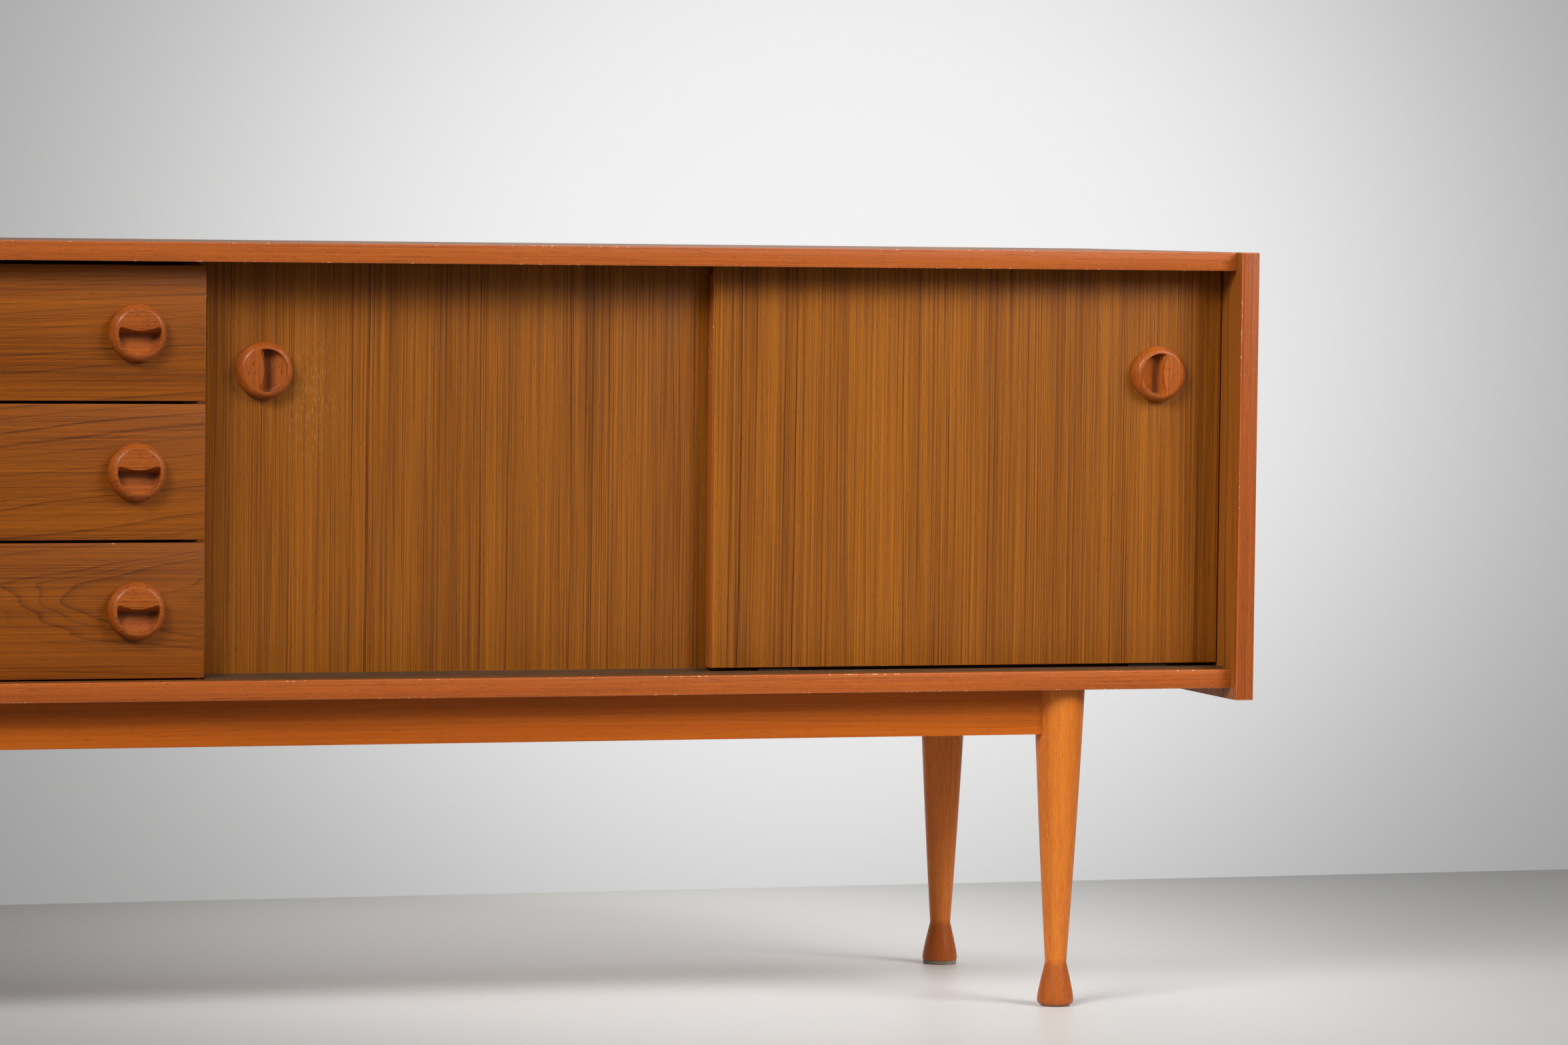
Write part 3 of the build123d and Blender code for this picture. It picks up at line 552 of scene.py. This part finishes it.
def sliding_leaf(side):
    """One door leaf with its tongue; its end strips belong to the same board."""
    node = f"{side}_door_panel"
    low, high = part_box(node)
    edge_low, edge_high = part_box(f"{side}_door_edges")
    low.x, high.x = edge_low.x, edge_high.x
    tongue_back = low.y + TONGUE_THICK
    shoulder = high.z - TONGUE_TALL
    piece = block(low, (high.x, high.y, shoulder))
    bpy.ops.object.mode_set(mode="EDIT")
    choose(piece, "faces", lambda face: face.normal.z > 0.9)
    bpy.ops.mesh.bisect(plane_co=(0, tongue_back, 0), plane_no=(0, 1, 0))
    choose(piece, "faces", lambda f: f.normal.z > 0.9 and f.calc_center_median().y < tongue_back)
    bpy.ops.mesh.extrude_region_move(TRANSFORM_OT_translate={"value": (0, 0, high.z - shoulder)})
    bpy.ops.object.mode_set(mode="OBJECT")
    # the front face and the tongue's front are one plane, so only true corners are eased
    ease_edges(piece, FINE_EASE,
               lambda edge: len(edge.link_faces) == 2 and edge.calc_face_angle() > 0.5)
    mark_arris(piece, lambda face: abs(face.normal.x) > 0.9)
    bpy.ops.object.shade_smooth_by_angle(angle=SMOOTH_BELOW)
    return complete(piece, f"{side}_door_leaf", f"{side}_sliding_door", "door_veneer",
                    [node, f"{side}_door_edges"], worn_door if side == "left" else None)


for side in ("left", "right"):
    leaf = sliding_leaf(side)
    print(leaf.name, len(leaf.data.polygons), "faces")

# %% [markdown]
# ## Turned parts
# A lathe leaves rings: at each height the work is a circle. Spinning an outline would make one too, with
# a seam to close. Here a turned piece is a circle that is extruded from ring to ring and resized at each
# one, so it is closed from the start. Legs and knobs are both made this way.

# %% The lathe
def turned(profile, sides=96):
    """A closed turned solid about Z. The profile is a list of (radius, height) from the bottom up."""
    clear_selection()
    first_radius, first_height = profile[0]
    bpy.ops.mesh.primitive_circle_add(vertices=sides, radius=first_radius, fill_type="NGON",
                                      location=(0, 0, first_height))
    settle()
    piece = bpy.context.object
    bpy.ops.object.mode_set(mode="EDIT")
    bpy.ops.mesh.select_mode(type="FACE")
    bpy.ops.mesh.select_all(action="SELECT")
    radius, height = first_radius, first_height
    for next_radius, next_height in profile[1:]:
        bpy.ops.mesh.extrude_region_move(TRANSFORM_OT_translate={"value": (0, 0, next_height - height)})
        share = next_radius / radius
        bpy.ops.transform.resize(value=(share, share, 1.0))
        radius, height = next_radius, next_height
    bpy.ops.mesh.select_all(action="SELECT")
    bpy.ops.mesh.normals_make_consistent(inside=False)
    bpy.ops.object.mode_set(mode="OBJECT")
    return piece


def place_copy(original, matrix):
    """A copy with its own mesh, set down by a matrix."""
    copy = original.copy()
    copy.data = original.data.copy()
    copy.data.transform(matrix)
    bpy.context.scene.collection.objects.link(copy)
    return copy


def discard(old):
    bpy.data.objects.remove(old, do_unlink=True)


# %% [markdown]
# ## Legs
# Tapered beech legs end in a small flared foot. The taper swells a little halfway up, the ankle is
# the thinnest place, and the foot's lower corner is rounded where it meets the felt. The front feet
# reach further down than the rear ones, because their felts are thinner.

# %% Four legs
leg_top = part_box("front_right_leg")[1].z
ANKLE = 10.4 * MM                             # radius at the thinnest place
TOP_RADIUS, SWELL = 24.8 * MM, 0.8 * MM
TAPER_STEPS = 28
# radius and height of each ring of the foot, in mm
foot_profile = [(16.4, 2.4), (17.6, 4.4), (17.8, 7.0), (17.2, 12.0), (15.6, 20.0), (13.6, 29.0),
                (11.6, 37.5), (10.7, 41.5)]


def leg_profile(sole_radius, sole_height):
    """The leg from its sole up: the foot's rings, then the swelling taper."""
    rings = [(sole_radius * MM, sole_height * MM)]
    rings += [(r * MM, h * MM) for r, h in foot_profile if h > sole_height]
    for step in range(TAPER_STEPS + 1):
        share = step / TAPER_STEPS
        radius = ANKLE + (TOP_RADIUS - ANKLE) * share + SWELL * 4 * share * (1 - share)
        rings.append((radius, ANKLE_HEIGHT + (leg_top - ANKLE_HEIGHT) * share))
    return rings


for place_name, sole in (("front", (14.0, 1.5)), ("rear", (16.9, 4.0))):
    leg = turned(leg_profile(*sole))
    bpy.ops.object.shade_smooth_by_angle(angle=math.radians(35))
    for side in ("left", "right"):
        node = f"{place_name}_{side}_leg"
        low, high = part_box(node)
        copy = place_copy(leg, Matrix.Translation(((low.x + high.x) / 2, (low.y + high.y) / 2, 0)))
        complete(copy, f"{node}_turned", "carcass", "leg_beech", [node])
    discard(leg)
print("legs", len(leg_profile(14.0, 1.5)), "rings each")

# %% [markdown]
# ## Cutting tools
# A finger pocket is carved, not built. Pushing the knob's own points inwards would stretch its faces and
# blur the lip. So the cutter is a solid of its own, and a Boolean modifier takes its shape out of the
# work, or keeps only what two solids share.

# %% Rods and cuts
def combine(piece, tool, operation):
    """Cut, join or intersect piece with tool, and throw the tool away."""
    clear_selection()
    piece.select_set(True)
    bpy.context.view_layer.objects.active = piece
    cut = piece.modifiers.new("cut", "BOOLEAN")
    cut.operation, cut.object, cut.solver = operation, tool, "EXACT"
    bpy.ops.object.modifier_apply(modifier=cut.name)
    discard(tool)


def rod(radius, low, high, y=0.0, sides=96):
    """A round rod that stands upright between two heights."""
    clear_selection()
    bpy.ops.mesh.primitive_cylinder_add(vertices=sides, radius=radius, depth=high - low,
                                        location=(0, y, (low + high) / 2))
    settle()
    return bpy.context.object


# %% [markdown]
# ## The finger pocket
# Seen from the front, the pocket is a round hole with a smiling lip across its upper part; its floor
# slopes from the deepest line under the lip up to the rim. So the cutter is a rod, less a much wider
# rod that leaves the lip, and kept only where it shares space with a sloping wedge. Rods and wedge
# reach well past the knob, so that no two faces lie in one plane. A real cutter leaves no sharp corners,
# so the shape is remeshed evenly and rubbed smooth at the end.

# %% The pocket's cutter
POCKET_RADIUS, LIP_RADIUS = 20.2 * MM, 36.0 * MM
LIP_ABOVE_MIDDLE = 2.2 * MM
DEEPEST, RISE_TO_RIM = 1.6 * MM, 9.9 * MM     # the floor's height above the back, and its slope's rise
OUTER_LINE, DEEPEST_LINE, TOP_LINE = -22.0 * MM, -2.0 * MM, 10.5 * MM     # the wedge's long edges
CORNER = 2.4 * MM


def finger_pocket():
    """The cutter of one pocket, standing on the knob's back with the lip towards +Y."""
    pocket = rod(POCKET_RADIUS, 0.0, 30.0 * MM)
    lip = rod(LIP_RADIUS, -5.0 * MM, 35.0 * MM, y=LIP_RADIUS + LIP_ABOVE_MIDDLE, sides=512)
    combine(pocket, lip, "DIFFERENCE")

    wedge = block((-30 * MM, OUTER_LINE, DEEPEST), (30 * MM, TOP_LINE, 20 * MM))
    bpy.ops.object.mode_set(mode="EDIT")
    halfway = 5 * MM
    choose(wedge, "edges", lambda e: all(v.co.z < halfway and v.co.y < 0 for v in e.verts))
    bpy.ops.transform.translate(value=(0, 0, RISE_TO_RIM))
    choose(wedge, "edges", lambda e: all(v.co.z < halfway and v.co.y > 0 for v in e.verts))
    bpy.ops.transform.translate(value=(0, DEEPEST_LINE - TOP_LINE, 0))
    choose(wedge, "edges", lambda e: all(v.co.z < halfway for v in e.verts))
    bpy.ops.mesh.bevel(offset=CORNER, segments=5, affect="EDGES")
    bpy.ops.object.mode_set(mode="OBJECT")
    combine(pocket, wedge, "INTERSECT")

    clear_selection()
    pocket.select_set(True)
    bpy.context.view_layer.objects.active = pocket
    even = pocket.modifiers.new("even", "REMESH")
    even.mode, even.voxel_size = "VOXEL", 0.7 * MM
    bpy.ops.object.modifier_apply(modifier=even.name)
    rub = pocket.modifiers.new("rub", "SMOOTH")
    rub.factor, rub.iterations = 0.5, 16
    bpy.ops.object.modifier_apply(modifier=rub.name)
    return pocket


# %% [markdown]
# ## One knob
# A knob is a turned disc with a rounded rim. The pocket is cut into it, and a fine bevel softens the
# lip, as years of fingers have. Then each point of the pocket notes how deep it lies, so that the
# wood's material can paint shade there, darkest at the bottom of the pocket.

# %% The knob
KNOB_RADIUS, KNOB_HEIGHT, KNOB_SIDE, RIM = 27.0 * MM, 13.0 * MM, 2.0 * MM, 6.5 * MM
RIM_STEPS = 12


def knob_shape():
    """A knob that points up +Z, with its finger pocket towards -Y."""
    flat = KNOB_RADIUS - RIM
    profile = [(KNOB_RADIUS, 0.0)]
    for step in range(RIM_STEPS + 1):
        bend = math.radians(90 * step / RIM_STEPS)
        profile.append((flat + RIM * math.cos(bend),
                        KNOB_SIDE + (KNOB_HEIGHT - KNOB_SIDE) * math.sin(bend)))
    knob = turned(profile)
    combine(knob, finger_pocket(), "DIFFERENCE")
    clear_selection()
    knob.select_set(True)
    bpy.context.view_layer.objects.active = knob
    soften = knob.modifiers.new("soften", "BEVEL")
    soften.width, soften.segments, soften.limit_method = 0.5 * MM, 3, "ANGLE"
    soften.angle_limit = math.radians(40)
    bpy.ops.object.modifier_apply(modifier=soften.name)
    bpy.ops.object.shade_smooth_by_angle(angle=math.radians(32))
    # how deep each point lies in the pocket: the mask of the pocket's painted shade
    depth = knob.data.attributes.new("pocket_shading", "FLOAT", "POINT")
    for vertex in knob.data.vertices:
        x, y, z = vertex.co
        inside = math.hypot(x, y) < flat and 0.5 * MM < z
        depth.data[vertex.index].value = (KNOB_HEIGHT - z) / KNOB_HEIGHT if inside else 0.0
    return knob


master_knob = knob_shape()
print("knob:", len(master_knob.data.polygons), "faces")

# %% [markdown]
# ## Nine knobs
# Each drawer has two knobs with their lips level, so that fingers pull from below. A door moves
# sideways, so its knob is turned by a quarter and its lip stands upright. All nine are copies of the one
# knob, set down by a matrix, and a door's knob is made of wood with its grain turned along.

# %% Knobs in place
face_outwards = Matrix.Rotation(math.radians(90), 4, "X")     # +Z of the knob to -Y of the case


def set_knob(name, body, node, place, quarter_turn, material):
    """A copy of the knob whose back stands at a place on the front, turned about the line of sight."""
    set_down = (Matrix.Translation(place) @ Matrix.Rotation(math.radians(quarter_turn), 4, "Y")
                @ face_outwards)
    return complete(place_copy(master_knob, set_down), name, body, "turned_knob", [node], material)


for level in ("top", "middle", "bottom"):
    node = f"{level}_drawer_knobs"
    low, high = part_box(node)
    middle = (low.z + high.z) / 2
    for side, x in (("left", low.x + KNOB_RADIUS), ("right", high.x - KNOB_RADIUS)):
        set_knob(f"{level}_drawer_{side}_pull", f"{level}_drawer", node, (x, high.y, middle), 0,
                 finish["turned_knob"])
for door, body, quarter_turn in (("right_door", "right_sliding_door", 90),
                                 ("left_door", "left_sliding_door", -90),
                                 ("hinged_door", "hinged_door", 90)):
    low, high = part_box(f"{door}_knob")
    middle = (low + high) / 2
    knob = set_knob(f"{door}_pull", body, f"{door}_knob", (middle.x, high.y, middle.z), quarter_turn,
                    knob_upright)
    print(knob.name, "at", [round(c / MM) for c in (middle.x, high.y, middle.z)], "mm")
discard(master_knob)

# %% [markdown]
# ## The room
# A pale floor and a wall close behind, as in a small studio. Both have light painted into their colour:
# they are brightest near the cupboard with the sliding doors and fall off around it, as a lit backdrop
# does. The wall glows by itself, so it needs no lights of its own; its glow is painted light. It is seen
# only from its front, so that the back of the sideboard can be looked at as well.

# %% Floor and wall
ROOM, WALL_DISTANCE = 40.0, 0.862


def stage_plane(name, location, rotation=(0, 0, 0)):
    """A large flat plane that belongs to the studio and not to the sideboard."""
    clear_selection()
    bpy.ops.mesh.primitive_plane_add(size=ROOM, location=location, rotation=rotation)
    plane = bpy.context.object
    plane.name = name
    return plane


floor = stage_plane("floor", (0, 0, 0))
wall = stage_plane("wall", (0, WALL_DISTANCE, 10.0), (math.radians(90), 0, 0))
print("wall", WALL_DISTANCE, "m behind the middle of the case")


# %% Painted light that fades from a centre
FALL_POWER = 4.0        # how suddenly the tone starts to fall
HALF_FALLEN = 0.55      # the power of the distance where half of the fall is done
MOST_FALLEN = 0.75      # the most that is ever mixed in of the dim tone


def painted_falloff(tree, centre, reach, bright, dim):
    """Painted light: a tone that is brightest at a centre and falls towards dim; centre and reach are in
    metres.
    """
    place = add(tree, "TexCoord", out="Object")
    offset = add(tree, "VectorMath", {0: place, 1: centre}, out=0, operation="SUBTRACT")
    share = add(tree, "VectorMath", {0: offset, 1: reach}, out=0, operation="DIVIDE")
    far = add(tree, "VectorMath", {0: share}, out="Value", operation="LENGTH")
    steep = add(tree, "Math", {0: far, 1: FALL_POWER}, out=0, operation="POWER")
    level = add(tree, "Math", {0: steep, 1: HALF_FALLEN}, out=0, operation="ADD")
    fall = add(tree, "Math", {0: steep, 1: level}, out=0, operation="DIVIDE")
    fall = add(tree, "Math", {0: fall, 1: MOST_FALLEN}, out=0, operation="MULTIPLY")
    return add(tree, "Mix", {"Factor": fall, "A": linear(bright), "B": linear(dim)}, out="Result",
               data_type="RGBA")


# a floor with a little sheen: pale and nearly neutral, with a painted pool of light round the cupboard with
# the sliding doors that falls to grey further off
material, tree, shader = new_material("floor with painted light")
painted_light = painted_falloff(tree, (0.6, 0.25, 0.0), (0.8, 1.05, 1.0), "#EEEEEC", "#7A7A78")
tree.links.new(painted_light, shader.inputs["Base Color"])
shader.inputs["Roughness"].default_value = 0.45
floor.data.materials.append(material)
print("half of the fall at", round(HALF_FALLEN ** (1 / FALL_POWER), 2), "of the reach")

# %% The wall with its painted glow
# a matt wall whose glow is painted light, as if lit from above: white in the middle, grey towards the
# corners
material, tree, shader = new_material("wall with painted glow")
glow_height = 0.63
painted_light = painted_falloff(tree, (0.98, glow_height - wall.location.z, 0.0), (0.957, 0.873, 1.0), "#F0F0F0", "#000000")
shader.inputs["Base Color"].default_value = linear("#404040")
shader.inputs["Roughness"].default_value = 0.9
# the glow is painted light: the wall lights itself and is no lamp
tree.links.new(painted_light, shader.inputs["Emission Color"])
shader.inputs["Emission Strength"].default_value = 0.95
behind = add(tree, "NewGeometry", out="Backfacing")
clear = add(tree, "BsdfTransparent", out=0)
both = add(tree, "MixShader", {0: behind, 1: shader.outputs[0], 2: clear}, out=0)
tree.links.new(both, tree.nodes["Material Output"].inputs["Surface"])
wall.data.materials.append(material)
print("the wall is brightest", glow_height, "m above the floor")

# %% [markdown]
# ## Light
# Two wide softboxes with honeycomb grids stand high in front, left and right, aimed at the sliding
# doors, so that the light falls off towards both ends. A smaller one lights the left end. A strip behind
# the case lights the floor under it, and one more softbox stands at the rear for views from there. A dim
# even sky fills the shadows.

# %% Lights and sky
def softbox(name, place, aim, size, power, spread):
    """A rectangular lamp; its spread in degrees is the honeycomb grid that narrows the beam."""
    lamp = bpy.data.lights.new(name, "AREA")
    lamp.shape = "RECTANGLE"
    lamp.size, lamp.size_y = size
    lamp.energy = power
    lamp.spread = math.radians(spread)
    holder = bpy.data.objects.new(name, lamp)
    bpy.context.scene.collection.objects.link(holder)
    holder.location = place
    holder.rotation_euler = (Vector(aim) - Vector(place)).to_track_quat("-Z", "Y").to_euler()


softbox("left key", (-1.3, -2.1, 2.3), (1.25, -0.2, 0.4), (1.6, 1.2), 12.3, spread=58)
softbox("right key", (2.4, -2.1, 1.9), (0.75, -0.2, 0.4), (1.6, 1.2), 11.5, spread=70)
softbox("left end light", (-2.2, -2.0, 2.2), (-1.2, -0.3, 0.4), (0.9, 0.9), 6, spread=40)
softbox("rear light", (-0.6, 3.0, 2.4), (0.0, 0.25, 0.4), (2.0, 1.2), 16, spread=90)
softbox("back light", (0.8, 0.62, 1.7), (0.6, 0.3, 0.0), (2.0, 0.3), 8.5, spread=180)

world = bpy.data.worlds.new("studio")
world.use_nodes = True
bpy.context.scene.world = world
sky = world.node_tree.nodes["Background"]
sky.inputs["Color"].default_value = linear("#EEECE8")
sky.inputs["Strength"].default_value = 0.2
print(len(bpy.data.lights), "lamps")

# %% [markdown]
# ## Camera
# A long lens stands far off to the left and a little above the top board. Upright edges stay nearly
# upright, and the front is seen slightly from the left. The turns are applied in the order of a tripod:
# the head swings, tips down, and leans a little.

# %% Camera
swing, tip, lean = math.radians(17.557), math.radians(2.853), math.radians(0.670)
camera_data = bpy.data.cameras.new("camera")
camera_data.lens = 141.65
camera_data.sensor_width = 36.0
camera = bpy.data.objects.new("camera", camera_data)
bpy.context.scene.collection.objects.link(camera)
turn = (Matrix.Rotation(-swing, 4, "Z") @ Matrix.Rotation(math.radians(90) - tip, 4, "X")
        @ Matrix.Rotation(lean, 4, "Z"))
camera.matrix_world = Matrix.Translation((-1.1935, -5.8210, 0.7662)) @ turn
bpy.context.scene.camera = camera
bpy.context.scene.view_settings.view_transform = "Standard"
print("lens", camera_data.lens, "mm")
